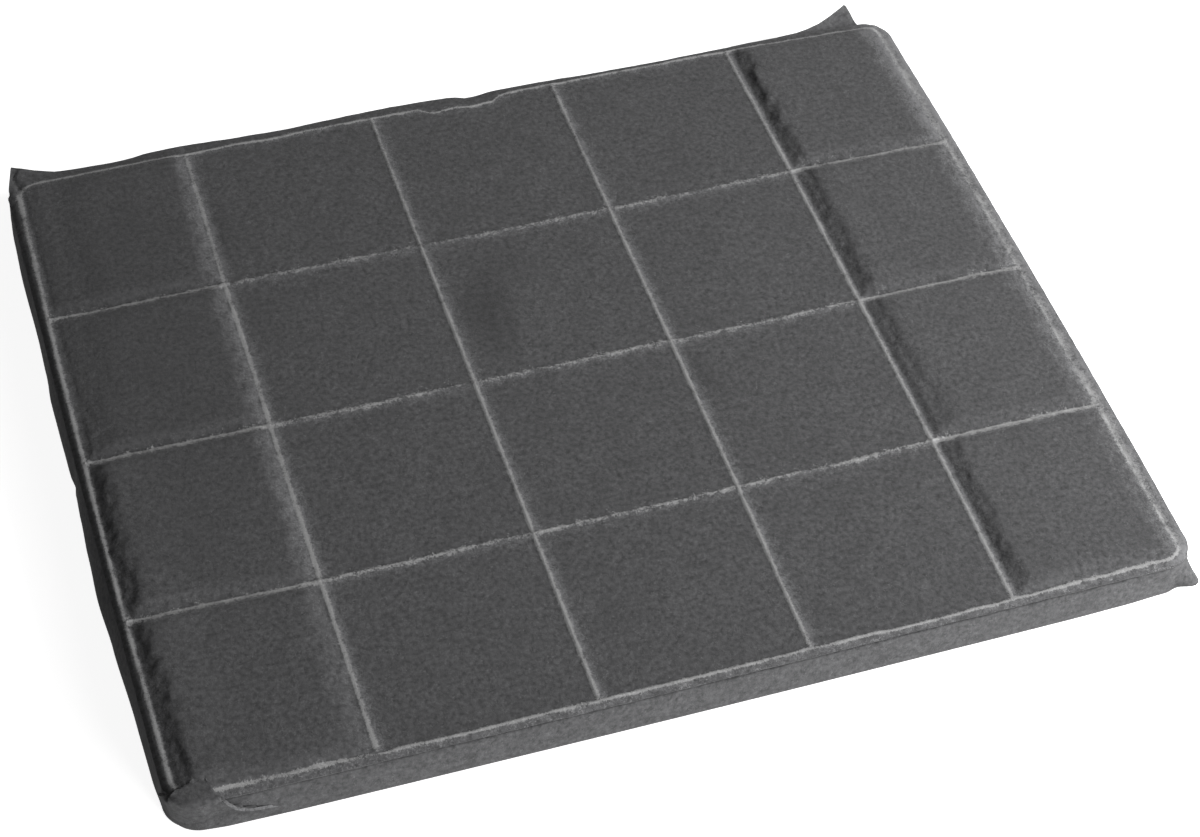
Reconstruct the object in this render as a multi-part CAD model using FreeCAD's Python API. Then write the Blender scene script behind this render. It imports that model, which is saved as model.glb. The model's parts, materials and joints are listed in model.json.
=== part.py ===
import FreeCAD, Part

import math
import os

from FreeCAD import Vector

# Cooker hood carbon filter, millimetres. X runs along the panel, Y across it, Z up.
# The origin is the middle of the underside, on the surface that the panel lies on.
# A moulded grid frame holds a charge of carbon granules in each cell. A fleece sheet is folded
# up round the frame, and a second one is welded over the top, along every rib and round the rim.

# Panel, measured over the fleece
panel_length = 242.5
panel_width = 197.5
corner_radius = 7.3

# Grid frame
frame_depth = 9.1
wall_thickness = 1.8
column_pitch = 50.0
row_pitch = 48.0
column_rib_thickness = 1.3
row_rib_thickness = 1.1
rib_draft = 0.15
cell_corner_radius = 1.2
base_edge_cut = 0.8

# Fleece
fleece_thickness = 0.8
weld_thickness = 0.4
weld_width = 1.5
lip_width = 1.3
lip_edge_radius = 0.35
groove_depth = 0.3
groove_margin = 6.0

# Pillows of the upper fleece: the columns at the two ends are filled fuller than the middle ones
middle_rise = 0.3
middle_shoulder = 3.0
end_rise = 1.3
end_shoulder = 4.5
cross_shoulder = 2.6
pillow_corner_radius = 3.0
shoulder_steps = 3

# Corner folds of the lower fleece
turned_in_reach = 5.8
turned_in_lift = 1.9
turned_in_depth = 8.0
turned_in_steps = 6
upright_start = 26.0
upright_start_reach = 1.5
upright_middle_reach = 3.1
upright_tip = 10.0
upright_tip_reach = 6.6
upright_end = 6.2
upright_base = 1.9
upright_angle = 50.0
low_fold_angle = 45.0
low_fold_reach = 10.7
low_fold_height = 2.8
low_fold_top = 9.2
high_fold_reach = 10.6
high_fold_drop = 5.0
high_fold_lift = 0.9
high_fold_angle = 28.0
high_fold_spread = 11.0

# Places worked out from the sizes above
half_length = panel_length / 2
half_width = panel_width / 2
frame_half_length = half_length - fleece_thickness
frame_half_width = half_width - fleece_thickness
frame_radius = corner_radius - fleece_thickness
frame_base = fleece_thickness
frame_top = frame_base + frame_depth
weld_top = frame_top + weld_thickness
lip_top = frame_top + fleece_thickness
column_count = max(1, round(panel_length / column_pitch))
row_count = max(1, round(panel_width / row_pitch))
fold_centre_x = half_length - corner_radius
fold_centre_y = half_width - corner_radius
fold_root = corner_radius - fleece_thickness / 2


def corners_of(x_low, x_high, y_low, y_high):
    """The corners of a rectangle, from the far right one round to the near right one."""
    far = [(x_high, y_high, 1, 1), (x_low, y_high, -1, 1)]
    near = [(x_low, y_low, -1, -1), (x_high, y_low, 1, -1)]
    return far + near


def rounded_outline(x_low, x_high, y_low, y_high, radii, z):
    arcs = []
    for (x, y, side_x, side_y), radius in zip(corners_of(x_low, x_high, y_low, y_high), radii):
        x -= side_x * radius
        y -= side_y * radius
        turn = radius * math.sqrt(0.5)
        along_x = Vector(x + side_x * radius, y, z)
        along_y = Vector(x, y + side_y * radius, z)
        middle = Vector(x + side_x * turn, y + side_y * turn, z)
        start, end = (along_x, along_y) if side_x == side_y else (along_y, along_x)
        arcs.append((start, middle, end))
    edges = []
    for index, (start, middle, end) in enumerate(arcs):
        edges.append(Part.Arc(start, middle, end).toShape())
        edges.append(Part.makeLine(end, arcs[(index + 1) % 4][0]))
    return Part.Wire(edges)


def cut_outline(x_low, x_high, y_low, y_high, radii, z):
    """Corners cut at 45 degrees, each cut touching the middle of the bend that it stands for."""
    points = []
    for (x, y, side_x, side_y), radius in zip(corners_of(x_low, x_high, y_low, y_high), radii):
        cut = radius * (2 - math.sqrt(2))
        along_x = Vector(x, y - side_y * cut, z)
        along_y = Vector(x - side_x * cut, y, z)
        points += [along_x, along_y] if side_x == side_y else [along_y, along_x]
    return points


def stacked(outlines, twisted=False):
    """A solid with flat faces through outlines of as many points each, in threes where they twist."""
    faces = [outlines[0], outlines[-1]]
    for low, high in zip(outlines, outlines[1:]):
        for index in range(len(low)):
            following = (index + 1) % len(low)
            side = [low[index], low[following], high[following], high[index]]
            faces += [side[:3], [side[0]] + side[2:]] if twisted else [side]
    flat = [Part.Face(Part.makePolygon(face + face[:1])) for face in faces]
    return Part.makeSolid(Part.makeShell(flat))


def rounded_block(half_x, half_y, radius, z_low, z_high):
    outline = rounded_outline(-half_x, half_x, -half_y, half_y, [radius] * 4, z_low)
    return Part.Face(outline).extrude(Vector(0, 0, z_high - z_low))


def edges_at(solid, z):
    """The edges of a solid that lie flat at one height."""
    box_edges = [(edge, edge.BoundBox) for edge in solid.Edges]
    return [edge for edge, box in box_edges if abs(box.ZMin - z) < 1e-6 and abs(box.ZMax - z) < 1e-6]


def rib_places(count, pitch):
    """The middles of the ribs that part a number of cells, about the middle of the panel."""
    return [(index - count / 2) * pitch for index in range(1, count)]


column_ribs = rib_places(column_count, column_pitch)
row_ribs = rib_places(row_count, row_pitch)


def spans(ribs, rib_thickness, frame_half):
    """The clear space of each cell between its ribs, at the top of the frame."""
    inner = frame_half - wall_thickness
    lows = [-inner] + [rib + rib_thickness / 2 for rib in ribs]
    highs = [rib - rib_thickness / 2 for rib in ribs] + [inner]
    return list(zip(lows, highs))


def corner_radii(row, column):
    """Only a cell in a corner of the frame has a large radius, which follows the frame's own."""
    sides = [(1, column_count), (1, 1), (row_count, 1), (row_count, column_count)]
    large = frame_radius - wall_thickness
    return [large if (row, column) == side else cell_corner_radius for side in sides]


def make_cells():
    """Every cell, from the far left corner, with the size of its pillow."""
    across = spans(column_ribs, column_rib_thickness, frame_half_length)
    along = spans(row_ribs, row_rib_thickness, frame_half_width)
    cells = []
    for row, y_span in enumerate(reversed(along), start=1):
        for column, x_span in enumerate(across, start=1):
            fuller = column in (1, column_count)
            cells.append({
                "name": f"r{row}_c{column}",
                "x": x_span,
                "y": y_span,
                "radii": corner_radii(row, column),
                "rise": end_rise if fuller else middle_rise,
                "shoulder": end_shoulder if fuller else middle_shoulder,
            })
    return cells


def cell_outline(cell, inset_x, inset_y, rounder, z):
    x_low, x_high = cell["x"]
    y_low, y_high = cell["y"]
    radii = [radius + rounder for radius in cell["radii"]]
    return cut_outline(x_low + inset_x, x_high - inset_x, y_low + inset_y, y_high - inset_y, radii, z)


def pocket_outlines(cell):
    """The cell narrows towards the base by the draft of its ribs."""
    return [cell_outline(cell, rib_draft, rib_draft, 0, frame_base), cell_outline(cell, 0, 0, 0, frame_top)]


def pillow_outlines(cell, weld_inset_x, weld_inset_y, z_low, height):
    """Outlines of a pillow that leaves its weld steeply and rounds off over its shoulder."""
    outlines = []
    for step in range(shoulder_steps + 1):
        angle = math.radians(90) * step / shoulder_steps
        inset = 1 - math.cos(angle)
        rounder = inset * pillow_corner_radius
        inset_x = weld_inset_x + inset * cell["shoulder"]
        inset_y = weld_inset_y + inset * cross_shoulder
        outlines.append(cell_outline(cell, inset_x, inset_y, rounder, z_low + height * math.sin(angle)))
    return outlines


def grid_frame():
    """The moulded frame: a round-cornered block with a drafted pocket for each cell."""
    block = rounded_block(frame_half_length, frame_half_width, frame_radius, frame_base, frame_top)
    block = block.makeChamfer(base_edge_cut, edges_at(block, frame_base))
    return block.cut([stacked(pocket_outlines(cell)) for cell in cells])


def carbon_bed(cell):
    """The granules of one cell, filling its pocket and heaped up under its pillow."""
    crown = pillow_outlines(cell, 0, 0, frame_top, cell["rise"])
    return stacked(pocket_outlines(cell)[:1] + crown)


def face_fleece():
    """The upper sheet: pressed thin on the welds, and lifted in a pillow over each cell."""
    sheet = rounded_block(half_length, half_width, corner_radius, frame_top, lip_top)
    sheet = sheet.makeFillet(lip_edge_radius, edges_at(sheet, lip_top))
    inner_x = half_length - lip_width
    inner_y = half_width - lip_width
    pressed = rounded_block(inner_x, inner_y, corner_radius - lip_width, weld_top, lip_top)
    pillows = []
    hollows = []
    for cell in cells:
        lift = fleece_thickness - weld_thickness + cell["rise"]
        weld_inset_x = (weld_width - column_rib_thickness) / 2
        weld_inset_y = (weld_width - row_rib_thickness) / 2
        outer = [cell_outline(cell, 0, 0, 0, frame_top)]
        outer += pillow_outlines(cell, weld_inset_x, weld_inset_y, weld_top, lift)
        pillows.append(stacked(outer))
        hollows.append(stacked(pillow_outlines(cell, 0, 0, frame_top, cell["rise"])))
    return sheet.cut(pressed).fuse(pillows).cut(hollows).removeSplitter()


def corner_place(side_x, side_y, along_x, along_y, z):
    """A point given from the middle of a corner's bend, outwards along each side."""
    return Vector(side_x * (fold_centre_x + along_x), side_y * (fold_centre_y + along_y), z)


def turned_in_section(angle):
    """The fold's outline on the plane that turns about the corner's bend, from 0 to 90 degrees."""
    tip = (corner_radius - turned_in_reach) * math.sqrt(0.5)
    slope = math.tan(math.radians(min(angle, 90 - angle)))
    share = corner_radius * slope / (tip + (corner_radius - tip) * slope)
    edge = math.hypot(corner_radius - (corner_radius - tip) * share, tip * share)
    edge = min(edge, corner_radius - fleece_thickness)
    edge_z = lip_top + turned_in_lift * (corner_radius - edge) / turned_in_reach
    outer = corner_radius + fleece_thickness
    outline = [
        (fold_root, lip_top - turned_in_depth),
        (outer, lip_top - turned_in_depth + 2 * fleece_thickness),
        (outer, lip_top),
        (corner_radius, lip_top + fleece_thickness),
        (edge, edge_z + fleece_thickness),
        (edge, edge_z),
        (corner_radius, lip_top),
        (fold_root, frame_top),
    ]
    turn = math.radians(angle)
    return [corner_place(-1, -1, r * math.cos(turn), r * math.sin(turn), z) for r, z in outline]


def turned_in_fold():
    """The near left corner's spare cloth, drawn up round the bend and folded in on the rim."""
    sections = [turned_in_section(90 * step / turned_in_steps) for step in range(turned_in_steps + 1)]
    lid = rounded_block(half_length, half_width, corner_radius, frame_top, lip_top)
    return stacked(sections, twisted=True).cut(lid)


def upright_fold():
    """The far right corner's spare cloth, standing off the far side as a pointed flap."""
    lean = math.radians(upright_angle)
    root_y = half_width - fleece_thickness / 2
    root_z = lip_top - upright_base

    def on_flap(from_end, reach):
        height = root_z + reach * math.sin(lean)
        return Vector(half_length - from_end, root_y + reach * math.cos(lean), height)

    start = on_flap(upright_start, 0)
    rise = on_flap(upright_start, upright_start_reach)
    middle = on_flap((upright_start + upright_tip) / 2, upright_middle_reach)
    tip = on_flap(upright_tip, upright_tip_reach)
    end = on_flap(upright_end, 0)
    hollow_edge = Part.Arc(rise, middle, tip).toShape()
    straight_edges = [Part.makeLine(tip, end), Part.makeLine(end, start), Part.makeLine(start, rise)]
    normal = Vector(0, math.sin(lean), -math.cos(lean))
    flap = Part.Face(Part.Wire([hollow_edge] + straight_edges))
    flap.translate(normal * (-fleece_thickness / 2))
    return flap.extrude(normal * fleece_thickness)


def outward_fold(side_x, side_y, angle, spread, levels):
    """A corner's spare cloth pinched outwards, with its ridge at each level's reach."""
    direction = math.radians(angle)
    sections = []
    for z, reach in levels:
        sections.append([
            corner_place(side_x, side_y, 0, 0, z),
            corner_place(side_x, side_y, fold_root, 0, z),
            corner_place(side_x, side_y, reach * math.sin(direction), reach * math.cos(direction), z),
            corner_place(side_x, side_y, -spread, fold_root, z),
        ])
    return stacked(sections, twisted=True)


def wrap_fleece():
    """The lower sheet: floor, four upturned sides and the four corner folds."""
    tray = rounded_block(half_length, half_width, corner_radius, 0, frame_top)
    tray = tray.makeFillet(base_edge_cut + fleece_thickness, edges_at(tray, 0))
    tray = tray.makeFillet(lip_edge_radius, edges_at(tray, frame_top))
    low_fold = outward_fold(1, -1, low_fold_angle, 0, [
        (fleece_thickness, fold_root),
        (low_fold_height, low_fold_reach),
        (low_fold_top, fold_root),
    ])
    high_fold = outward_fold(-1, 1, high_fold_angle, high_fold_spread, [
        (lip_top - high_fold_drop, fold_root),
        (lip_top + high_fold_lift, high_fold_reach),
    ])
    core = rounded_block(frame_half_length, frame_half_width, frame_radius, frame_base, frame_top)
    core = core.makeChamfer(base_edge_cut, edges_at(core, frame_base))
    over_lid = rounded_block(half_length, half_width, corner_radius, frame_top, lip_top + high_fold_lift)
    folds = [low_fold, high_fold.cut(over_lid), upright_fold().cut(over_lid), turned_in_fold()]
    return tray.fuse(folds).cut([core] + weld_grooves()).removeSplitter()


def weld_grooves():
    """Shallow pressed lines under the ribs, ending short of the rim."""
    reach_x = half_length - groove_margin
    reach_y = half_width - groove_margin
    low = -weld_width / 2
    down = [(weld_width, 2 * reach_y, Vector(x + low, -reach_y, 0)) for x in column_ribs]
    across = [(2 * reach_x, weld_width, Vector(-reach_x, y + low, 0)) for y in row_ribs]
    return [Part.makeBox(size_x, size_y, groove_depth, corner) for size_x, size_y, corner in down + across]


cells = make_cells()
parts = {
    "grid_frame": grid_frame(),
    "face_fleece": face_fleece(),
    "wrap_fleece": wrap_fleece(),
}
for cell in cells:
    parts["carbon_bed_" + cell["name"]] = carbon_bed(cell)

os.makedirs("parts", exist_ok=True)
for name, shape in parts.items():
    shape.exportStep(f"parts/{name}.step")
    print(name, "solids", len(shape.Solids), "valid", shape.isValid(), "volume", round(shape.Volume, 1))
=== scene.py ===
import json
import math

import bpy
from bpy.props import FloatProperty, FloatVectorProperty, PointerProperty
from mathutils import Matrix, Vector, noise

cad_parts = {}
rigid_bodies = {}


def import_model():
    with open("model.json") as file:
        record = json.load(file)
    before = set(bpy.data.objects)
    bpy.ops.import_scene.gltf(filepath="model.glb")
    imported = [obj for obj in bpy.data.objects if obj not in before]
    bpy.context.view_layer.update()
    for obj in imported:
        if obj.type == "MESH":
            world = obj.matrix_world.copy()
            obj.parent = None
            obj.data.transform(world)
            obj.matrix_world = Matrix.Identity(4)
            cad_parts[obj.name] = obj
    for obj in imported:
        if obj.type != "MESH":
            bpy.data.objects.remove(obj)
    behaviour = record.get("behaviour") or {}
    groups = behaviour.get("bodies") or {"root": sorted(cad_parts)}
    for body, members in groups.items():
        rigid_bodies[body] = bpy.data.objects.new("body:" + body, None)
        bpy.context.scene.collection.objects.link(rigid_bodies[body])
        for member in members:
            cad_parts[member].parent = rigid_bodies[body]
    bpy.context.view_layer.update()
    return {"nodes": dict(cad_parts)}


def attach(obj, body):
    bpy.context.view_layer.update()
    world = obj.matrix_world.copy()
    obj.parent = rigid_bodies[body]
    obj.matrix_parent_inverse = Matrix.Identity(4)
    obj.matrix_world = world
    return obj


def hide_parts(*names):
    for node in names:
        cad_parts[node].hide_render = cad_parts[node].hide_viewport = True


bl_info = {
    "name": "Cooker hood carbon filter",
    "version": (1, 0, 0),
    "blender": (4, 5, 0),
    "location": "3D View > Sidebar > Carbon filter",
    "description": "Dresses the carbon filter panel in welded fleece and sets its studio",
    "category": "Object",
}

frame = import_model()

# The rows of cells are counted from the far side and the columns from the left. All the shapes
# below are worked out in millimetres and written to the meshes in metres.
MM = 0.001
RIBS_ALONG = (-75.0, -25.0, 25.0, 75.0)
RIBS_ACROSS = (-48.0, 0.0, 48.0)


def linear(hex_colour):
    """An sRGB hex colour as linear numbers."""
    channels = [int(hex_colour[i:i + 2], 16) / 255 for i in (0, 2, 4)]
    return [c / 12.92 if c <= 0.04045 else ((c + 0.055) / 1.055) ** 2.4 for c in channels]


class FilterSizes(bpy.types.PropertyGroup):
    panel_length: FloatProperty(
        name="Panel length", description="Length over the fleece", default=0.2425, unit="LENGTH")
    panel_width: FloatProperty(
        name="Panel width", description="Width over the fleece", default=0.1975, unit="LENGTH")
    corner_radius: FloatProperty(
        name="Corner radius", description="Outer radius of the corners", default=0.0073, unit="LENGTH")
    fleece: FloatProperty(
        name="Fleece", description="Thickness of the fleece", default=0.0008, unit="LENGTH")
    middle_height: FloatProperty(
        name="Middle height", description="Top of the fleece over the middle columns",
        default=0.0106, unit="LENGTH")
    end_crown: FloatProperty(
        name="End crown", description="Top of the pillows in the two end columns",
        default=0.01172, unit="LENGTH")
    rim_strip: FloatProperty(
        name="Rim strip", description="Width of the strip outside the rim weld",
        default=0.002, unit="LENGTH")
    wall_top: FloatProperty(
        name="Wall top", description="Height at which the side fleece tucks under the upper sheet",
        default=0.00905, unit="LENGTH")
    base_bend: FloatProperty(
        name="Base bend", description="Radius of the bend from the floor into the sides",
        default=0.0016, unit="LENGTH")


class FilterColours(bpy.types.PropertyGroup):
    fleece: FloatVectorProperty(
        name="Fleece", description="Needled polyester fleece", subtype="COLOR",
        default=linear("4b4b4c"))
    fused: FloatVectorProperty(
        name="Fused fibre", description="Fleece melted together in the weld lines", subtype="COLOR",
        default=linear("8e8e8e"))
    plastic: FloatVectorProperty(
        name="Frame plastic", description="Black polypropylene", subtype="COLOR",
        default=linear("1f1f20"))
    carbon: FloatVectorProperty(
        name="Carbon", description="Activated carbon granules", subtype="COLOR",
        default=linear("19191a"))
    floor: FloatVectorProperty(
        name="Floor", description="Studio floor", subtype="COLOR", default=linear("f6f6f6"))


class FilterStudio(bpy.types.PropertyGroup):
    key_power: FloatProperty(
        name="Key lamp", description="Power of the soft box in watts", default=7.2, min=0.0)
    front_power: FloatProperty(
        name="Front fill", description="Power of the low front light in watts", default=8.4, min=0.0)
    fill: FloatProperty(
        name="Fill", description="Strength of the light from all round", default=0.04, min=0.0)


# Small helpers


def deselect_everything():
    for item in bpy.context.view_layer.objects:
        item.select_set(False)


def take(item):
    """Selects one object alone and makes it active."""
    deselect_everything()
    item.select_set(True)
    bpy.context.view_layer.objects.active = item


def on_whole_mesh(operation, **settings):
    """Runs an edit-mode operation on the whole mesh of the active object."""
    bpy.ops.object.mode_set(mode="EDIT")
    bpy.ops.mesh.select_all(action="SELECT")
    operation(**settings)
    bpy.ops.object.mode_set(mode="OBJECT")


def soft_rise(share):
    """From 0 to 1 with a soft start and end."""
    share = min(1.0, max(0.0, share))
    return share * share * (3 - 2 * share)


def blend_at(value, table):
    """A smooth curve through a table of (place, number) pairs."""
    if value <= table[0][0]:
        return table[0][1]
    for (low, a), (high, b) in zip(table, table[1:]):
        if value <= high:
            return a + (b - a) * soft_rise((value - low) / (high - low))
    return table[-1][1]


def line_at(value, table):
    """Straight runs through a table of (place, number) pairs."""
    if value <= table[0][0]:
        return table[0][1]
    for (low, a), (high, b) in zip(table, table[1:]):
        if value <= high:
            return a + (b - a) * (value - low) / (high - low)
    return table[-1][1]


def ripple(x, y, size, layer=0.0):
    """Smooth noise from about -1 to 1 with the given grain in millimetres."""
    return noise.noise(Vector((x / size, y / size, layer * 17.3 + 0.37)))


def bowed(x, y):
    """The panel's sides bow out a little between its corners."""
    bow = 4.5e-7
    return x * (1 - bow * y * y), y * (1 - bow * x * x)


def grid_sheet(name, columns, rows, place):
    """A grid whose vertices are moved one by one: place(column, row) gives each one's millimetres."""
    deselect_everything()
    bpy.ops.mesh.primitive_grid_add(
        x_subdivisions=columns - 1, y_subdivisions=rows - 1, size=2, location=(0, 0, 0))
    sheet = bpy.context.active_object
    sheet.name = name
    sheet.data.name = name
    for vertex in sheet.data.vertices:
        column = round((vertex.co.x + 1) / 2 * (columns - 1))
        row = round((vertex.co.y + 1) / 2 * (rows - 1))
        vertex.co = Vector(place(column, row)) * MM
    return sheet


def write_attribute(sheet, name, values):
    layer = sheet.data.attributes.new(name, "FLOAT", "POINT")
    layer.data.foreach_set("value", values)


def thicken(sheet, thickness, thin_share=1.0):
    """Gives a sheet its thickness inwards, whole where its group is 1 and thinner elsewhere."""
    take(sheet)
    solid = sheet.modifiers.new("Thickness", "SOLIDIFY")
    solid.thickness = thickness
    solid.offset = -1
    solid.use_even_offset = True
    if thin_share < 1:
        solid.vertex_group = "pressed"
        solid.thickness_vertex_group = thin_share
    bpy.ops.object.modifier_apply(modifier=solid.name)
    bpy.ops.object.shade_smooth_by_angle(angle=math.radians(55))


def crowded(lines, low, high, near, spacing):
    """Coordinates that crowd together at the lines and thin out between them."""
    places = {low, high}
    for line in lines:
        for offset in near:
            places.update((line - offset, line + offset))
    places = sorted(p for p in places if low <= p <= high)
    filled = [places[0]]
    for place in places[1:]:
        gap = place - filled[-1]
        steps = max(1, math.ceil(gap / spacing - 0.2))
        filled += [filled[-1] + gap * (i + 1) / steps for i in range(steps)]
    return filled


# Materials


def node(tree, kind, inputs=None, **settings):
    """Adds a node, sets its properties, and sets or links its inputs."""
    made = tree.nodes.new(kind)
    for key, value in settings.items():
        setattr(made, key, value)
    for key, value in (inputs or {}).items():
        if isinstance(value, bpy.types.NodeSocket):
            tree.links.new(value, made.inputs[key])
        else:
            made.inputs[key].default_value = value
    return made


def blank_material(name):
    made = bpy.data.materials.new(name)
    made.use_nodes = True
    made.node_tree.nodes.clear()
    return made, made.node_tree


def tinted(colour, factor=1.0):
    """A colour, lighter or darker, as the four numbers of a node's socket."""
    return (*[min(1.0, c * factor) for c in colour], 1.0)


def per_metre(grain_mm):
    """The scale at which a noise pattern on metres has a grain of that many millimetres."""
    return 1000 / grain_mm


# Where the fleece is melted, painted paler as a painted highlight, painted darker as painted shade, uneven
# and torn: attributes of its sheet, 0 to 1.
FLEECE_MARKS = ("weld", "painted_highlight", "painted_shade", "ragged", "frayed")


def fleece_material(colours):
    """Needled polyester fleece: matt felt that scatters light, with soft tufts and loose fibres.
    Where it was welded it is melted to a paler, waxier skin. Beside the welds and on the shoulders
    turned to the key light it is painted paler, a painted highlight, and in patches it is painted
    darker, painted shade."""
    made, tree = blank_material("Needled polyester fleece")
    place = node(tree, "ShaderNodeTexCoord").outputs["Object"]
    # A fibre is only 0.03 mm thick. The finest pattern stands for small bundles of them, which is
    # as fine as the picture can show. Each has a grain in millimetres, detail, roughness, distortion.
    bundles, tufts, torn, clumps, clouds = [
        node(tree, "ShaderNodeTexNoise", {
            "Vector": place, "Scale": per_metre(grain), "Detail": detail, "Roughness": roughness,
            "Distortion": distortion}).outputs["Fac"]
        for grain, detail, roughness, distortion in (
            (0.42, 2.0, 0.65, 0.8), (1.15, 3.0, 0.6, 0.0), (2.0, 4.0, 0.7, 0.6),
            (2.2, 1.5, 0.5, 0.0), (9.0, 2.0, 0.5, 0.0))]
    weld, painted_highlight, painted_shade, ragged, frayed = [
        node(tree, "ShaderNodeAttribute", attribute_name=mark).outputs["Fac"] for mark in FLEECE_MARKS]
    fleece = colours.fleece

    high = node(tree, "ShaderNodeMapRange", {"Value": tufts, "From Min": 0.28, "From Max": 0.72})
    strands = node(tree, "ShaderNodeMapRange", {
        "Value": bundles, "From Min": 0.60, "From Max": 0.85, "To Max": 0.5})
    dull = node(tree, "ShaderNodeMapRange", {
        "Value": clouds, "From Min": 0.35, "From Max": 0.7, "To Max": 0.3})
    # Painted highlight: the felt is painted paler in the skirts beside the welds, on the shoulders turned
    # to the key light and along the folds' cut edges, broken up by pills and torn edges.
    fray = node(tree, "ShaderNodeMath", {0: bundles, 1: torn}, operation="ADD")
    fray = node(tree, "ShaderNodeMath", {0: fray.outputs[0], 1: -1.0}, operation="ADD").outputs[0]
    edge = node(tree, "ShaderNodeMath", {0: fray, 1: 2.3, 2: painted_highlight}, operation="MULTIPLY_ADD")
    painted_highlight_share = node(tree, "ShaderNodeMapRange", {
        "Value": edge.outputs[0], "From Min": 0.22, "From Max": 1.05, "To Max": 0.9})
    # Painted shade: the felt is painted darker in the shade patches.
    painted_shade_share = node(tree, "ShaderNodeMath", {0: painted_shade, 1: 0.42}, operation="MULTIPLY")
    # Melted felt has a torn edge. The welds across and at the ends break up into bright beads.
    reach = node(tree, "ShaderNodeMath", {0: frayed, 1: 2.0, 2: 0.8}, operation="MULTIPLY_ADD")
    edge = node(tree, "ShaderNodeMath", {0: fray, 1: reach.outputs[0], 2: weld},
                operation="MULTIPLY_ADD")
    melted = node(tree, "ShaderNodeMapRange", {
        "Value": edge.outputs[0], "From Min": 0.30, "From Max": 0.92}, interpolation_type="SMOOTHSTEP")
    beads = node(tree, "ShaderNodeMapRange", {"Value": edge.outputs[0], "From Min": 1.1, "From Max": 1.6})
    colour = tinted(fleece, 0.52)
    for share, shade in ((high, tinted(fleece, 1.50)), (strands, tinted(fleece, 1.9)),
                         (dull, tinted(fleece, 0.72)), (painted_highlight_share, tinted(fleece, 2.1)),
                         (painted_shade_share, tinted(fleece, 0.5)), (melted, tinted(colours.fused)),
                         (beads, tinted(colours.fused, 1.6))):
        colour = node(tree, "ShaderNodeMix", {
            0: share.outputs[0], 6: colour, 7: shade}, data_type="RGBA").outputs[2]

    # The felt's relief: tufts, fibre bundles, and clumps on the pillows' uneven shoulders.
    felt = node(tree, "ShaderNodeMath", {0: tufts, 1: 0.7}, operation="MULTIPLY")
    felt = node(tree, "ShaderNodeMath", {0: bundles, 1: 0.35, 2: felt.outputs[0]},
                operation="MULTIPLY_ADD")
    rags = node(tree, "ShaderNodeMath", {0: clumps, 1: 0.5}, operation="SUBTRACT")
    rags = node(tree, "ShaderNodeMath", {0: rags.outputs[0], 1: ragged}, operation="MULTIPLY")
    felt = node(tree, "ShaderNodeMath", {0: rags.outputs[0], 1: 1.8, 2: felt.outputs[0]},
                operation="MULTIPLY_ADD")
    bump = node(tree, "ShaderNodeBump", {"Height": felt.outputs[0], "Strength": 0.5, "Distance": 0.0003})
    rough = node(tree, "ShaderNodeMapRange", {
        "Value": melted.outputs[0], "To Min": 0.96, "To Max": 0.62})
    shader = node(tree, "ShaderNodeBsdfPrincipled", {
        "Base Color": colour, "Normal": bump.outputs[0], "Roughness": rough.outputs[0],
        "Specular IOR Level": 0.25, "Sheen Weight": 0.1, "Sheen Roughness": 0.5})
    node(tree, "ShaderNodeOutputMaterial", {"Surface": shader.outputs[0]})
    return made


def plastic_material(colours):
    """Moulded polypropylene: black and faintly waxy, with the fine grain of a spark-eroded mould."""
    made, tree = blank_material("Moulded polypropylene")
    place = node(tree, "ShaderNodeTexCoord").outputs["Object"]
    grain = node(tree, "ShaderNodeTexNoise", {
        "Vector": place, "Scale": per_metre(0.5), "Detail": 2.0}).outputs["Fac"]
    flow = node(tree, "ShaderNodeTexNoise", {
        "Vector": place, "Scale": per_metre(30.0), "Detail": 1.0}).outputs["Fac"]
    colour = node(tree, "ShaderNodeMix", {
        0: flow, 6: tinted(colours.plastic), 7: tinted(colours.plastic, 1.35)}, data_type="RGBA")
    bump = node(tree, "ShaderNodeBump", {"Height": grain, "Strength": 0.25, "Distance": 0.00006})
    rough = node(tree, "ShaderNodeMapRange", {"Value": grain, "To Min": 0.42, "To Max": 0.6})
    shader = node(tree, "ShaderNodeBsdfPrincipled", {
        "Base Color": colour.outputs[2], "Normal": bump.outputs[0], "Roughness": rough.outputs[0]})
    node(tree, "ShaderNodeOutputMaterial", {"Surface": shader.outputs[0]})
    return made


def carbon_material(colours):
    """Activated carbon granules: dull black crushed grains, 1.5 mm across, a few facets brighter."""
    made, tree = blank_material("Activated carbon granules")
    place = node(tree, "ShaderNodeTexCoord").outputs["Object"]
    grains = node(tree, "ShaderNodeTexVoronoi", {"Vector": place, "Scale": per_metre(1.5)})
    tone = node(tree, "ShaderNodeSeparateColor", {"Color": grains.outputs["Color"]}).outputs[0]
    colour = node(tree, "ShaderNodeMix", {
        0: tone, 6: tinted(colours.carbon, 0.5), 7: tinted(colours.carbon, 1.9)}, data_type="RGBA")
    bump = node(tree, "ShaderNodeBump", {
        "Height": grains.outputs["Distance"], "Strength": 1.0, "Distance": 0.0006}, invert=True)
    rough = node(tree, "ShaderNodeMapRange", {"Value": tone, "To Min": 0.45, "To Max": 0.8})
    shader = node(tree, "ShaderNodeBsdfPrincipled", {
        "Base Color": colour.outputs[2], "Normal": bump.outputs[0], "Roughness": rough.outputs[0]})
    node(tree, "ShaderNodeOutputMaterial", {"Surface": shader.outputs[0]})
    return made


def finish_of(name):
    """The material of that name, made when it is first asked for."""
    makers = {
        "Needled polyester fleece": fleece_material,
        "Moulded polypropylene": plastic_material,
        "Activated carbon granules": carbon_material,
    }
    return bpy.data.materials.get(name) or makers[name](bpy.context.scene.filter_colours)


# Upper fleece

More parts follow.
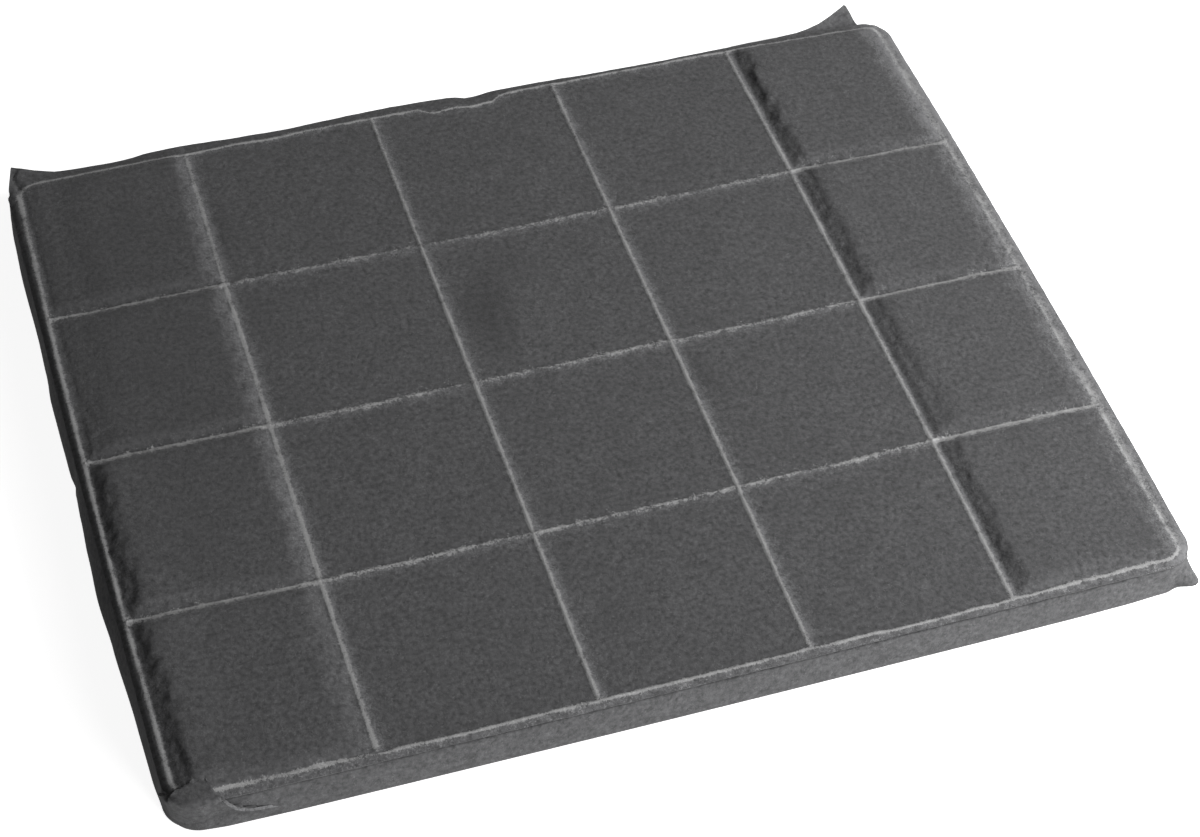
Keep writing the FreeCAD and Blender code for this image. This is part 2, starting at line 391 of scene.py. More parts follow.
# The rim's welds and the ribs make the weld lines. Then how far the sheet reaches beyond the
# sides, and how proud the welds stand.
RIM_X = 119.25
RIM_Y = 96.8
LINES_ALONG = (-RIM_X, *RIBS_ALONG, RIM_X)
LINES_ACROSS = (-RIM_Y, *RIBS_ACROSS, RIM_Y)
LID_BEYOND = 0.1
BEAD_ALONG = 0.17
BEAD_ACROSS = 0.14
BEAD_OF_RIM = 0.14

# How far each weld line strays from its rib: (place along the line, shift).
FAR_RIM_STRAYS = [(-118, -1.4), (-101, -1.35), (-93, -1.1), (-85, -0.7), (-77, -0.95), (-69, -0.8),
                  (-61, -0.45), (-53, -0.9), (-45, -0.7), (-33, -0.4), (-11, -0.5), (-9.5, -2.8),
                  (-4, -2.2), (2, -2.7), (8, -2.4), (10, -0.8), (13, -0.3), (20, -0.1), (34, 0.0),
                  (58, 0.2), (82, 0.3), (98, 0.1), (106, -0.1), (114, -0.3)]
FAR_EDGE_STRAYS = [(-84, 0.4), (-77, 0.5), (-68, 0.2), (-61, -0.2), (-48, -0.55), (-37, -0.1),
                   (-29, 0.2), (-20, 0.4), (-10, 0.2), (-4, -0.1), (2.5, -1.1), (10, -0.15),
                   (26, -0.15), (36, -0.45), (56, -0.45), (66, -0.15), (74, 0.0), (82, 0.35),
                   (92, 0.5), (104, 0.3), (116, 0.0)]
NEAR_RIM_STRAYS = [(-118, 0.75), (-109, 0.7), (-97, 0.5), (-85, 0.6), (-73, 0.15), (-61, 0.05),
                   (0, 0.1), (22, 0.2), (46, -0.1), (70, -0.2), (82, 0.2), (94, 0.3), (118, 0.35)]
LEFT_RIM_STRAYS = [(-95, 0.0), (-69, -0.05), (-45, -0.4), (-20, -0.4), (0, -0.2), (26, -0.25),
                   (50, 0.0), (62, 0.2), (74, 0.3), (90, 0.45)]
RIGHT_RIM_STRAYS = [(-95, -0.6), (-69, -0.65), (-57, -0.5), (-45, -0.3), (-33, -0.5), (-10, -0.2),
                    (30, 0.05), (50, 0.0), (62, -0.1), (80, -0.25), (95, -0.3)]
RIGHT_EDGE_STRAYS = [(-88, 0.0), (-60, 0.25), (-20, 0.4), (50, 0.4), (86, 0.1)]
ALONG_STRAYS = [
    [(-92, -0.1), (-35, -0.2), (-8, -0.2), (20, -0.05), (51, -0.25), (78, 0.0), (92, 0.1)],
    [(-92, -0.05), (0, 0.05), (92, -0.1)],
    [(-92, 0.0), (-40, 0.2), (0, 0.15), (50, 0.0), (92, -0.1)],
    [(-92, -0.35), (-60, -0.1), (0, 0.05), (50, 0.05), (92, -0.25)],
]
ACROSS_STRAYS = [
    [(-118, -0.2), (-105, -0.4), (-86, 0.0), (-60, 0.2), (-20, -0.1), (30, -0.1), (60, 0.3), (80, 0.6),
     (118, 0.45)],
    [(-118, 0.4), (-80, 0.3), (-50, 0.1), (0, 0.15), (15, 0.3), (30, 0.05), (75, 0.3), (118, 0.45)],
    [(-118, 0.4), (-105, 0.55), (-95, 0.3), (-85, 0.05), (0, 0.0), (50, 0.1), (74, 0.4), (118, 0.05)],
]

# The spare cloth at the far left corner stands out as a flat ear. Distance round the outline from
# the middle of the corner (on along the far side, back down the left side), shift right, away, up.
EAR = [(-9.0, 0.0, 0.0, 0.0), (-5.7, -0.1, 0.0, 0.1), (-4.4, -0.25, 0.0, 0.3), (-3.5, 0.2, 0.0, 0.4),
       (-2.2, 0.17, 0.3, 0.6), (-0.8, -0.1, 1.75, 0.9), (0.2, 0.1, 5.4, 1.3), (1.1, 0.75, 4.1, 1.2),
       (2.0, 1.1, 3.2, 1.1), (4.0, 2.05, 1.5, 0.9), (6.0, 2.1, 0.65, 0.7), (10.0, 1.3, -0.2, 0.5),
       (14.0, 0.5, -0.35, 0.4), (18.0, 0.0, -0.45, 0.35), (23.5, 0.0, -0.45, 0.2), (28.0, 0.0, -0.4, 0.1),
       (34.0, 0.0, 0.4, 0.0)]

# A pillow's shoulders, row by row from the far side: flat land beside the weld, then the width of
# the shoulder at the cell's far and near end.
LEFT_OF_FIRST_RIB = [(0.3, 3.8, 4.8), (0.3, 4.2, 4.8), (0.3, 4.6, 4.2), (0.4, 4.8, 7.0)]
INSIDE_LEFT_RIM = [(0.8, 14.0, 14.0), (0.8, 13.0, 7.0), (0.8, 4.3, 4.3), (0.8, 4.3, 4.8)]
RIGHT_OF_LAST_RIB = [(1.5, 4.1, 4.1), (1.5, 4.3, 4.6), (1.6, 4.0, 6.6), (1.8, 3.8, 3.8)]
INSIDE_RIGHT_RIM = [(0.6, 6.2, 5.6), (0.5, 5.2, 4.8), (0.5, 4.6, 4.8), (0.5, 4.8, 4.4)]

# Soft humps and dents of the sheet: centre, reach along and across, height.
HUMPS = [(-8.0, 22.0, 12.0, 20.0, 0.45), (30.5, -12.0, 3.0, 11.0, 0.25), (-71.0, 66.0, 3.0, 13.0, 0.3),
         (60.0, -70.0, 26.0, 18.0, 0.12), (0.0, -70.0, 22.0, 20.0, 0.1), (-50.0, -20.0, 18.0, 20.0, 0.1),
         (52.0, 22.0, 18.0, 18.0, 0.12), (-47.0, 72.0, 20.0, 18.0, 0.1), (6.0, 74.0, 20.0, 18.0, 0.12)]

# In the end columns the fleece lies on the granules: its least height at a distance from the ribs.
CARBON_COVER = [(0.7, 10.2), (1.2, 10.7), (2.85, 11.19), (5.5, 11.38)]

# Patches of painted shade, most of them over the humps: centre, reach along and across, strength.
SHADE_PATCHES = [(-16.0, 20.0, 9.0, 16.0, 1.0), (-8.0, 34.0, 12.0, 9.0, 0.5), (31.0, -14.0, 4.0, 12.0, 0.8),
                (-70.0, 66.0, 4.0, 12.0, 0.7), (45.0, 58.0, 14.0, 8.0, 0.3),
                (-100.0, 36.0, 36.0, 84.0, 0.75)]


def rise(share):
    """A pillow leaves its weld at an even slope and rounds off."""
    share = min(1.0, max(0.0, share))
    return 1 - (1 - share) ** 1.2


def near_line(distance, half_width):
    """1 on a line, fading out on both sides of it."""
    return math.exp(-(distance / half_width) ** 2)


def ridge(distance, gentle, steep):
    """A ridge that falls off gently where the distance is positive and steeply where it isn't."""
    return near_line(distance, gentle if distance > 0 else steep)


def place_in_cells(x, y):
    """Which column and row a point is in, and how far it is from the lines on its four sides."""
    from_far = LINES_ACROSS[::-1]
    column = min(4, max(0, sum(x > line for line in LINES_ALONG) - 1))
    row = min(3, max(0, sum(y < line for line in from_far) - 1))
    return (column, row, x - LINES_ALONG[column], LINES_ALONG[column + 1] - x,
            from_far[row] - y, y - from_far[row + 1])


def inside_rim(x, y, radius):
    """How far a point lies inside the rim's weld, and how much the rim there faces sideways."""
    past_x = abs(x) - (RIM_X - radius)
    past_y = abs(y) - (RIM_Y - radius)
    if past_x > 0 and past_y > 0:
        reach = math.hypot(past_x, past_y)
        return radius - reach, (past_x / reach) ** 2
    return radius - max(past_x, past_y), 1.0 if past_x > past_y else 0.0


def patch_share(x, y, patch):
    """1 at the middle of a patch, falling to 0 where its reach ends."""
    middle_x, middle_y, reach_x, reach_y, _ = patch
    return max(0.0, 1 - (((x - middle_x) / reach_x) ** 2 + ((y - middle_y) / reach_y) ** 2))


def least_height(x, y):
    """The height under which the carbon would stand through the fleece."""
    column, _, west, east, north, south = place_in_cells(x, y)
    if column in (1, 2, 3):
        return 0.0
    steeper = 1.5  # the beds' shoulders are narrower beside the ribs across
    return line_at(min(west, east, steeper * north, steeper * south), CARBON_COVER)


def shoulder_share(band, row, down, distance, x, y):
    """How far up its shoulder a pillow is at a distance from its line."""
    land, far_width, near_width = band[row]
    width = far_width + (near_width - far_width) * down
    ragged = 1.5 * ripple(x, y, 4.5, 1) + 1.5 * ripple(x, y, 2.3, 2)
    return rise((distance - land - 0.2 * ragged) / (width * (1 + 0.2 * ragged)))


def panel_outline(sizes, beyond=0.0):
    """Half sizes and corner radius of the panel, or of a sheet that reaches beyond its sides."""
    return (sizes.panel_length / MM / 2 + beyond, sizes.panel_width / MM / 2 + beyond,
            sizes.corner_radius / MM)


def top_look(x, y, sizes):
    """Height of the upper fleece in millimetres; how fused, its painted highlight and painted shade, how
    ragged, frayed, pressed.
    """
    flat = sizes.middle_height / MM
    crown = sizes.end_crown / MM
    strip = sizes.rim_strip / MM
    column, row, west, east, north, south = place_in_cells(x, y)
    rounded = rounded_place(x, y, *panel_outline(sizes, LID_BEYOND))
    inside, sideways = inside_rim(*rounded, sizes.corner_radius / MM - strip)
    down = min(1.0, max(0.0, north / (north + south)))
    painted_highlight = 0.0
    ragged = 0.0
    height = flat
    if column == 0:
        crown += 0.3 * soft_rise((18.0 - west) / 12.0) * soft_rise((6.0 - y) / 12.0)
        height += 0.35 * soft_rise((y - 6.0) / 12.0) * near_line(max(0.0, west), 7.0)
        share = shoulder_share(INSIDE_LEFT_RIM, row, down, west, x, y)
        other = shoulder_share(LEFT_OF_FIRST_RIB, row, down, east, x, y)
        # Painted highlight on the shoulder that falls to the first rib and faces the key light.
        painted_highlight = (1 - other) ** 0.7 * (east < 8) * (0.85, 0.85, 0.7, 0.2)[row]
    elif column == 4:
        crown += 0.25 * soft_rise((18.0 - west) / 12.0) * soft_rise((y + 30.0) / 30.0)
        crown -= 0.2 * soft_rise((x - 96.0) / 16.0)
        share = shoulder_share(RIGHT_OF_LAST_RIB, row, down, west, x, y)
        other = shoulder_share(INSIDE_RIGHT_RIM, row, down, east, x, y)
        corner = math.hypot(east, min(north if row == 0 else 99.0, south if row == 3 else 99.0))
        strength = (1.1, 0.8, 0.65, 0.5)[row] + 0.6 * near_line(corner, 8.0)
        # Painted highlight on the shoulder that falls to the right rim and faces the key light.
        painted_highlight = (1 - other) ** 0.5 * (east < 9) * strength
    if column in (0, 4):
        ragged = share * (1 - share) + other * (1 - other)
        share *= other * rise((north - 0.2) / 3.0) * rise((south - 0.2) / 3.0)
        height += (crown - height) * share
    else:
        share = soft_rise(min(west, east, 6.0) / 6.0) * soft_rise(min(north, south, 6.0) / 6.0)
    for hump in HUMPS:
        height += hump[-1] * patch_share(x, y, hump) ** 2 * share
    # Painted shade: the sheet is painted darker in the shade patches.
    painted_shade = max(patch[-1] * patch_share(x, y, patch) for patch in SHADE_PATCHES)
    height += (0.05 * ripple(x, y, 9.0, 3) + 0.03 * ripple(x, y, 3.0, 4)) * share

    # The welds stand a little proud. On the side towards the key light their fused colour reaches
    # further and a pale skirt lies beside them, a painted highlight. Those along the ribs are smooth
    # beads; those across them are thin, frayed and broken.
    middle = column in (1, 2, 3)
    along = west if column > 0 and (column == 4 or west < east) else -east
    weld = 0.0
    frayed = 0.0
    by_side_rim = (column == 0 and west < east) or (column == 4 and east < west)
    if inside > 0 and abs(along) < 8 and not by_side_rim:
        if column == 0:
            height = max(height, flat + BEAD_ALONG * ridge(along + 0.1, 1.0, 1.4))
        else:
            height += BEAD_ALONG * ridge(along + 0.1, 1.0, 0.45)
        weld = 0.88 - 0.1 * soft_rise((y - 10) / 60) + 0.2 * ripple(x, y, 6.0, 5)
        weld *= ridge(along + 0.2, 0.95, 0.6)
        painted_highlight = max(painted_highlight, 0.8 * ridge(along, 2.3, 0.5))
    across = north if row > 0 and (row == 3 or north < south) else -south
    by_end_rim = (row == 0 and north < south) or (row == 3 and south < north)
    if inside > 0 and abs(across) < 8 and not by_end_rim:
        broken = (0.7 if middle else 1.3) - 0.22 * soft_rise((y + 48) / 96) + 0.55 * ripple(x, y, 9.0, 6)
        height += BEAD_ACROSS * ridge(across - 0.4, 0.9, 0.35)
        weld = max(weld, ridge(across - 0.4, 0.9, 0.5) * broken)
        painted_highlight = max(painted_highlight, (0.75 if middle else 0.9) * ridge(across - 0.5, 2.1, 0.5))
        frayed = near_line(across, 1.6) * (1 - near_line(along, 1.2))
    # The rim's weld is flat and wide at the sides, and thin and broken at the far and near end.
    left = x < 0
    away = inside if left else -inside
    side_width = 0.75 if left else 1.25
    side_bead = ridge(away + (0.0 if left else 0.5), side_width * 1.3, side_width)
    # Painted highlight: the rim's pale skirt lies on the side towards the key light.
    side_skirt = 0.75 * ridge(away, 2.0, 0.6)
    side_strength = (0.82 if left else 0.64) + 0.25 * ripple(x, y, 5.0, 14)
    away = (inside if y > 0 else -inside) - 0.35
    end_bead = ridge(away, 0.5, 0.45)
    end_skirt = 0.6 * ridge(away, 1.8, 0.5)
    end_strength = 1.05 + 0.5 * ripple(x, y, 8.0, 8)
    frayed = max(frayed, 0.4 * near_line(inside, 1.8) * (1 - sideways))
    bead = side_bead * sideways + end_bead * (1 - sideways)
    weld = max(weld, side_bead * side_strength * sideways + end_bead * end_strength * (1 - sideways))
    painted_highlight = max(painted_highlight, side_skirt * sideways + end_skirt * (1 - sideways))
    if inside <= 0:
        out = min(1.0, -inside / strip)
        height = flat + (0.35 * soft_rise((y - 6.0) / 12.0) * (x < 0) * sideways)
        height += -0.6 * out ** 3 + 0.04 * ripple(x, y, 2.5, 10) + 0.04 * out * ripple(x, y, 7.0, 11)
        # The strip's cut edge is painted paler in broken dashes: fused fibre and painted highlight.
        weld = max(weld, (0.2 + 0.4 * ripple(x, y, 1.8, 19)) * soft_rise((out - 0.75) * 4))
        ragged = 0.0
    height += BEAD_OF_RIM * bead
    on_welds = max(0.0, bead, 0.9 * near_line(along, 0.8), 0.9 * near_line(across, 0.8))
    pressed = 0.8 if inside <= 0 else on_welds
    return height, max(0.0, weld), max(0.0, min(1.0, painted_highlight)), painted_shade, min(1.0, 4 * ragged), frayed, pressed


def strayed(x, y, sizes):
    """Moves a point of the upper sheet with the weld lines around it."""
    tables = (LEFT_RIM_STRAYS, *ALONG_STRAYS, RIGHT_RIM_STRAYS)
    shift_x = line_at(x, [(line, blend_at(y, table)) for line, table in zip(LINES_ALONG, tables)])
    tables = (NEAR_RIM_STRAYS, *reversed(ACROSS_STRAYS), FAR_RIM_STRAYS)
    shift_y = line_at(y, [(line, blend_at(x, table)) for line, table in zip(LINES_ACROSS, tables)])
    _, row, _, _, north, south = place_in_cells(x, y)
    across = min(abs(north), abs(south))
    waver = 0.28 * ripple(x, row, 6.0, 16) + 0.22 * ripple(x, row, 3.0, 17)
    shift_y += waver * near_line(across, 2.0)
    strip = sizes.rim_strip / MM
    if y > RIM_Y:
        edge = blend_at(x, FAR_EDGE_STRAYS) * soft_rise((x + 88.0) / 5.0)
        shift_y += (edge - shift_y) * (y - RIM_Y) / strip
    elif y < -RIM_Y:
        shift_y *= 1 + (y + RIM_Y) / strip
    if x < -RIM_X:
        shift_x *= 1 + (x + RIM_X) / strip
    elif x > RIM_X:
        shift_x += (blend_at(y, RIGHT_EDGE_STRAYS) - shift_x) * (x - RIM_X) / strip
    return x + shift_x, y + shift_y


def rounded_place(x, y, half_x, half_y, radius):
    """Maps the square corner of a grid on a round one."""
    a = (abs(x) - (half_x - radius)) / radius
    b = (abs(y) - (half_y - radius)) / radius
    if a <= 0 or b <= 0:
        return x, y
    turned_a = a * math.sqrt(1 - b * b / 2)
    turned_b = b * math.sqrt(1 - a * a / 2)
    x = math.copysign(half_x - radius + turned_a * radius, x)
    y = math.copysign(half_y - radius + turned_b * radius, y)
    return x, y


def round_corner(x, y, half_x, half_y, radius):
    """Distance round the outline from the middle of the nearest corner, positive on along the
    panel's length, for a point of the square grid."""
    a = (abs(x) - (half_x - radius)) / radius
    b = (abs(y) - (half_y - radius)) / radius
    if a > 0 and b > 0:
        angle = math.atan2(b * math.sqrt(1 - a * a / 2), a * math.sqrt(1 - b * b / 2))
        return radius * (angle - math.pi / 4)
    if a > 0:
        return radius * (b - math.pi / 4)
    return radius * (math.pi / 4 - a)


def ear_shift(x, y, around):
    """The ear's shift of the outline at a point of the far left corner."""
    if x > 0 or y < 0:
        return Vector((0, 0, 0))
    return Vector([line_at(around, [(row[0], row[i]) for row in EAR]) for i in (1, 2, 3)])


class FILTER_OT_upper_fleece(bpy.types.Operator):
    """Lays the upper fleece over the frame, welded along every rib and round the rim"""
    bl_idname = "filter.upper_fleece"
    bl_label = "Upper fleece"

    def execute(self, context):
        sizes = context.scene.filter_sizes
        half_x, half_y, radius = panel_outline(sizes, LID_BEYOND)
        strip = sizes.rim_strip / MM
        plain = (0, 0.2, 0.4, 0.65, 1.0, 1.6, 2.6, 3.8)
        steep = (0, 0.2, 0.4, 0.65, 1.0, 1.4, 1.9, 2.4, 2.9, 3.4, 4.0, 4.7, 5.5, 6.5, 7.7)
        fine = (0, 0.16, 0.34, 0.6, 1.0)
        by_rim = RIM_X - 9  # the shoulders inside the rim reach about this far in
        xs = crowded([-RIM_X], -half_x, -by_rim, steep, 1.2)
        xs += crowded([RIBS_ALONG[0]], -by_rim, RIBS_ALONG[0], steep, 2.8)[1:]
        xs += crowded(RIBS_ALONG, RIBS_ALONG[0], RIBS_ALONG[-1], plain, 2.3)[1:]
        xs += crowded([RIBS_ALONG[-1]], RIBS_ALONG[-1], by_rim, steep, 2.8)[1:]
        xs += crowded([RIM_X], by_rim, half_x, steep, 1.2)[1:]
        ys = crowded(LINES_ACROSS, -half_y, half_y, fine, 1.05)

        def place(column, row):
            x, y = xs[column], ys[row]
            height = top_look(x, y, sizes)[0]
            around = round_corner(x, y, half_x, half_y, radius)
            out = max(0.0, max(abs(x) - RIM_X, abs(y) - RIM_Y) / strip)
            shift = ear_shift(x, y, around) * min(1.0, out)
            x, y = strayed(x, y, sizes)
            x, y = rounded_place(x, y, half_x, half_y, radius)
            if out > 0.5:
                x += 0.10 * ripple(x, y, 2.0, 12)
                y += 0.10 * ripple(x, y, 2.0, 13)
            x, y = bowed(x, y)
            over_granules = abs(x) < RIM_X - 0.5 and abs(y) < RIM_Y - 0.5
            if out <= 0 or over_granules:
                height = max(height, least_height(x, y))
            return x + shift.x, y + shift.y, height + shift.z

        sheet = grid_sheet("upper_fleece", len(xs), len(ys), place)
        looks = [top_look(x, y, sizes) for y in ys for x in xs]
        for index, mark in enumerate(FLEECE_MARKS, 1):
            write_attribute(sheet, mark, [look[index] for look in looks])
        # Between the welds the hidden underside is drawn higher, to reach less into the granules.
        pressed = sheet.vertex_groups.new(name="pressed")
        for index, look in enumerate(looks):
            pressed.add([index], look[-1], "REPLACE")
        thicken(sheet, sizes.fleece, thin_share=0.5)
        sheet.data.materials.append(finish_of("Needled polyester fleece"))
        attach(sheet, "root")
        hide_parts("face_fleece")
        return {"FINISHED"}


# Lower fleece

# The sides belly out between the corners: (place along the side, millimetres).
LEFT_BELLY = [(-92, 0.4), (-84, 0.9), (-68, 1.1), (-47, 1.8), (-33, 2.4), (-20, 2.0), (-8, 1.5), (-1, 1.2),
              (1, 0.8), (6, 1.3), (30, 1.5), (38, 1.0), (51, 0.8), (72, 1.1), (86, 0.8), (92, 0.4)]
NEAR_BELLY = [(-116, 0.5), (-108, 1.0), (-92, 1.15), (-40, 1.1), (40, 1.1), (90, 1.15), (104, 1.0),
              (114, 0.6)]
RIGHT_BELLY = [(-90, 0.5), (-60, 1.0), (0, 1.2), (60, 1.0), (90, 0.4)]
FAR_BELLY = [(-110, 0.2), (-84, 0.5), (-40, 0.9), (10, 0.7), (80, 0.9), (110, 0.3)]
# Share of the near right corner's pinch at a height.
PINCH = [(0.0, 0.0), (2.6, 1.0), (9.2, 0.0)]

# Corner folds. Each row is (distance along the edge in millimetres, counted from the start of the
# corner's bend, then how far out the fold's edge stands, and its height).
UPRIGHT_FLAP = [(84.0, 0.7), (91.5, 1.64), (96.6, 1.9), (100.1, 2.45), (103.6, 3.35), (107.2, 4.85),
                (110.1, 6.3), (111.8, 7.3), (112.8, 5.0), (113.8, 2.2), (114.8, 0.7)]
TURNED_IN = [(0.7, 1.0, 7.5), (1.8, 0.95, 8.4), (2.6, 0.8, 9.4), (3.4, 0.2, 10.3), (4.59, -1.9, 11.0),
             (5.73, -3.6, 11.35), (7.64, -5.1, 11.6), (9.56, -5.8, 11.75), (11.47, -6.2, 11.85),
             (12.87, -6.4, 11.9), (13.5, -4.5, 11.75), (14.2, -2.4, 11.5), (15.0, -0.5, 11.2),
             (15.6, 0.75, 10.7), (16.6, 1.6, 9.4), (18.0, 2.1, 7.9), (20.4, 2.1, 6.3), (23.5, 1.7, 5.0),
             (27.0, 1.1, 3.8), (30.0, 0.5, 2.8)]


def side_place(half_x, half_y, radius, corner, along):
    """Base point and outward direction on the outline. A corner is (-1 or 1, -1 or 1); along is
    counted from the start of its bend at the short side, round the bend and down the long side."""
    side_x, side_y = corner
    bend = radius * math.pi / 2
    angle = min(math.pi / 2, max(0.0, along / radius))
    out = Vector((side_x * math.cos(angle), side_y * math.sin(angle)))
    base = Vector((side_x * (half_x - radius), side_y * (half_y - radius))) + out * radius
    if along < 0:
        base.y -= side_y * -along
    elif along > bend:
        base.x -= side_x * (along - bend)
    return base, out


def spread_along(path, count):
    """Points at even distances along a path of (out, height) points."""
    lengths = [0.0]
    for first, second in zip(path, path[1:]):
        lengths.append(lengths[-1] + math.dist(first, second))
    places = [lengths[-1] * i / (count - 1) for i in range(count)]
    outs = list(zip(lengths, [point[0] for point in path]))
    heights = list(zip(lengths, [point[1] for point in path]))
    return [(line_at(p, outs), line_at(p, heights)) for p in places]


def tray_profile(belly, pinch, wall_top, bend):
    """The side's outline from the floor's edge up: a full bend, a wall that leans in as it rises,
    and the tuck under the upper sheet."""
    curve = 0.9
    path = [(-bend, 0.0)]
    for step in range(5):
        angle = math.pi / 2 * step / 4
        path.append((belly - curve + curve * math.sin(angle), curve - curve * math.cos(angle)))
    levels = 9
    for step in range(1, levels + 1):
        share = step / levels
        height = curve + (wall_top - 0.4 - curve) * share
        path.append((belly * (1 - share ** 1.4) + 0.12 * math.sin(math.pi * share), height))
    path += [(-0.15, wall_top - 0.15), (-0.45, wall_top), (-0.7, wall_top + 0.05)]
    return [(out + pinch * line_at(height, PINCH) ** 1.4, height) for out, height in path]


def side_belly(base, out):
    """How far the side bulges at a point of the outline."""
    if abs(out.x) > abs(out.y):
        amount = blend_at(base.y, LEFT_BELLY if out.x < 0 else RIGHT_BELLY)
    else:
        amount = blend_at(base.x, NEAR_BELLY if out.y < 0 else FAR_BELLY)
    return amount * (0.25 + 0.75 * (2 * max(abs(out.x), abs(out.y)) ** 2 - 1))


def tray(sizes):
    """Floor and four sides: a grid for the floor, whose edge is extruded up level by level."""
    half_x, half_y, radius = panel_outline(sizes)
    bend = sizes.base_bend / MM
    wall_top = sizes.wall_top / MM
    floor_x = half_x - bend
    floor_y = half_y - bend
    floor_radius = radius - bend
    near_corner = [0.5 * i for i in range(14)] + [7.2, 8.2, 9.4, 11, 13, 15.5, 18.5, 22, 26]
    groove = (0, 0.45, 0.8, 1.2, 2.2)
    xs = sorted({s * (floor_x - d) for d in near_corner for s in (-1, 1)})
    ys = sorted({s * (floor_y - d) for d in near_corner for s in (-1, 1)})
    inner_x = crowded(RIBS_ALONG, xs[len(near_corner) - 1], xs[len(near_corner)], groove, 2.6)
    inner_y = crowded(RIBS_ACROSS, ys[len(near_corner) - 1], ys[len(near_corner)], groove, 2.6)
    xs = sorted(set(xs) | set(inner_x))
    ys = sorted(set(ys) | set(inner_y))

    made = grid_sheet("lower_fleece", len(xs), len(ys), lambda column, row: (xs[column], ys[row], 0))
    on_whole_mesh(bpy.ops.mesh.flip_normals)
    bpy.ops.object.mode_set(mode="EDIT")
    bpy.ops.mesh.select_all(action="DESELECT")
    bpy.ops.mesh.select_mode(type="EDGE")
    bpy.ops.mesh.select_non_manifold()
    levels = len(tray_profile(0, 0, wall_top, bend)) - 1
    for _ in range(levels):
        bpy.ops.mesh.extrude_edges_move(TRANSFORM_OT_translate={"value": (0, 0, MM)})
    bpy.ops.object.mode_set(mode="OBJECT")
    groove_depth = 0.3
    for vertex in made.data.vertices:
        x, y, level = vertex.co / MM
        level = round(level)
        if level == 0:
            depth = max([near_line(x - rib, 0.6) for rib in RIBS_ALONG]
                        + [near_line(y - rib, 0.6) for rib in RIBS_ACROSS])
            inside = soft_rise((min(floor_x - abs(x), floor_y - abs(y)) - 3.5) / 2.0)
            height = groove_depth * depth * inside
            height += inside * 0.06 * (0.5 + 0.5 * ripple(x, y, 11.0, 20))
            x, y = rounded_place(x, y, floor_x, floor_y, floor_radius)
            vertex.co = Vector((*bowed(x, y), height)) * MM
            continue
        corner = (math.copysign(1, x), math.copysign(1, y))
        around = round_corner(x, y, floor_x, floor_y, floor_radius)
        quarter = floor_radius * math.pi / 4
        # The bend is longer round its outside than at the floor.
        if abs(around) < quarter:
            around *= radius / floor_radius
        else:
            around += math.copysign((radius - floor_radius) * math.pi / 4, around)
        along = around + radius * math.pi / 4
        base, out = side_place(half_x, half_y, radius, corner, along)
        # Near right, the spare cloth is pinched out into a low point.
        pinch = 4.6 * near_line(around, 2.4) if corner == (1, -1) else 0.0
        out_by, height = tray_profile(side_belly(base, out), pinch, wall_top, bend)[level]
        crumple = 0.12 * ripple(base.x + base.y, height, 6.0, 22)
        crumple += 0.06 * ripple(base.x - base.y, height, 2.2, 23)
        spot = base + out * (out_by + crumple * soft_rise(height / 3.0))
        spot = Vector(bowed(*spot))
        # The top of the wall follows the upper sheet's edge.
        near_top = soft_rise((height - 5.0) / 4.6)
        if corner == (-1, 1):
            lean = ear_shift(-1, 1, around) * (0.82 * near_top)
            lean.y = max(lean.y, -0.1)  # further in, the frame would show through
            spot += lean.xy
            height += max(0.0, lean.z) * 0.7
        elif corner[1] > 0 or x < 0:
            spot.y += blend_at(x, FAR_EDGE_STRAYS) * near_top * (out.y > 0.7)
        if level > levels - 3:
            height += 0.08 * ripple(base.x, base.y, 3.0, 21)
        vertex.co = Vector((*spot, height)) * MM
    return made


def fold_sheet(name, sizes, corner, stations, profile, rows):
    """A fold of spare cloth at a corner: a profile of (out, height) points at each station."""
    profiles = [spread_along(profile(along), rows) for along in stations]

    def place(column, row):
        base, out = side_place(*panel_outline(sizes), corner, stations[column])
        out_by, height = profiles[column][row]
        crumple = 0.07 * ripple(stations[column], height, 4.0, 31) * soft_rise(height / 4.0)
        spot = base + out * (out_by + crumple)
        return (*bowed(spot.x, spot.y), height)

    fold = grid_sheet(name, len(stations), rows, place)
    # The cut edge of the cloth is painted a little paler, a painted highlight.
    write_attribute(fold, "painted_highlight", [0.5 * (row == rows - 1) for row in range(rows) for _ in stations])
    return fold


def evenly(low, high, step):
    count = max(2, round(abs(high - low) / step) + 1)
    return [low + (high - low) * i / (count - 1) for i in range(count)]


def turned_in_fold(sizes):
    """Near left: the spare cloth comes round the bend, lies over the rim, and its lip gapes."""
    outs = [(a, b) for a, b, _ in TURNED_IN]
    heights = [(a, c) for a, _, c in TURNED_IN]
    stations = evenly(TURNED_IN[0][0], TURNED_IN[-1][0], 0.32)

    def profile(along):
        edge_out = line_at(along, outs)
        edge_height = line_at(along, heights)
        path = [(-0.25, 1.0), (0.1, 2.0)]
        wall_end = min(edge_height, 10.3)
        for height in (3.5, 5.0, 6.5, 8.0, 9.3):
            if height < wall_end - 0.6:
                path.append((0.1 + min(1.0, height / 9.5) * 0.85, height))
        if edge_out < 0.72 and edge_height > 10.9:  # here the cloth lies over the rim
            path += [(1.0, 10.5), (0.85, 11.1), (0.45, 11.5), (min(0.2, edge_out + 0.3), 11.6)]
        path.append((edge_out, edge_height))
        return path

    return fold_sheet("turned_in_fold", sizes, (-1, -1), stations, profile, 20)


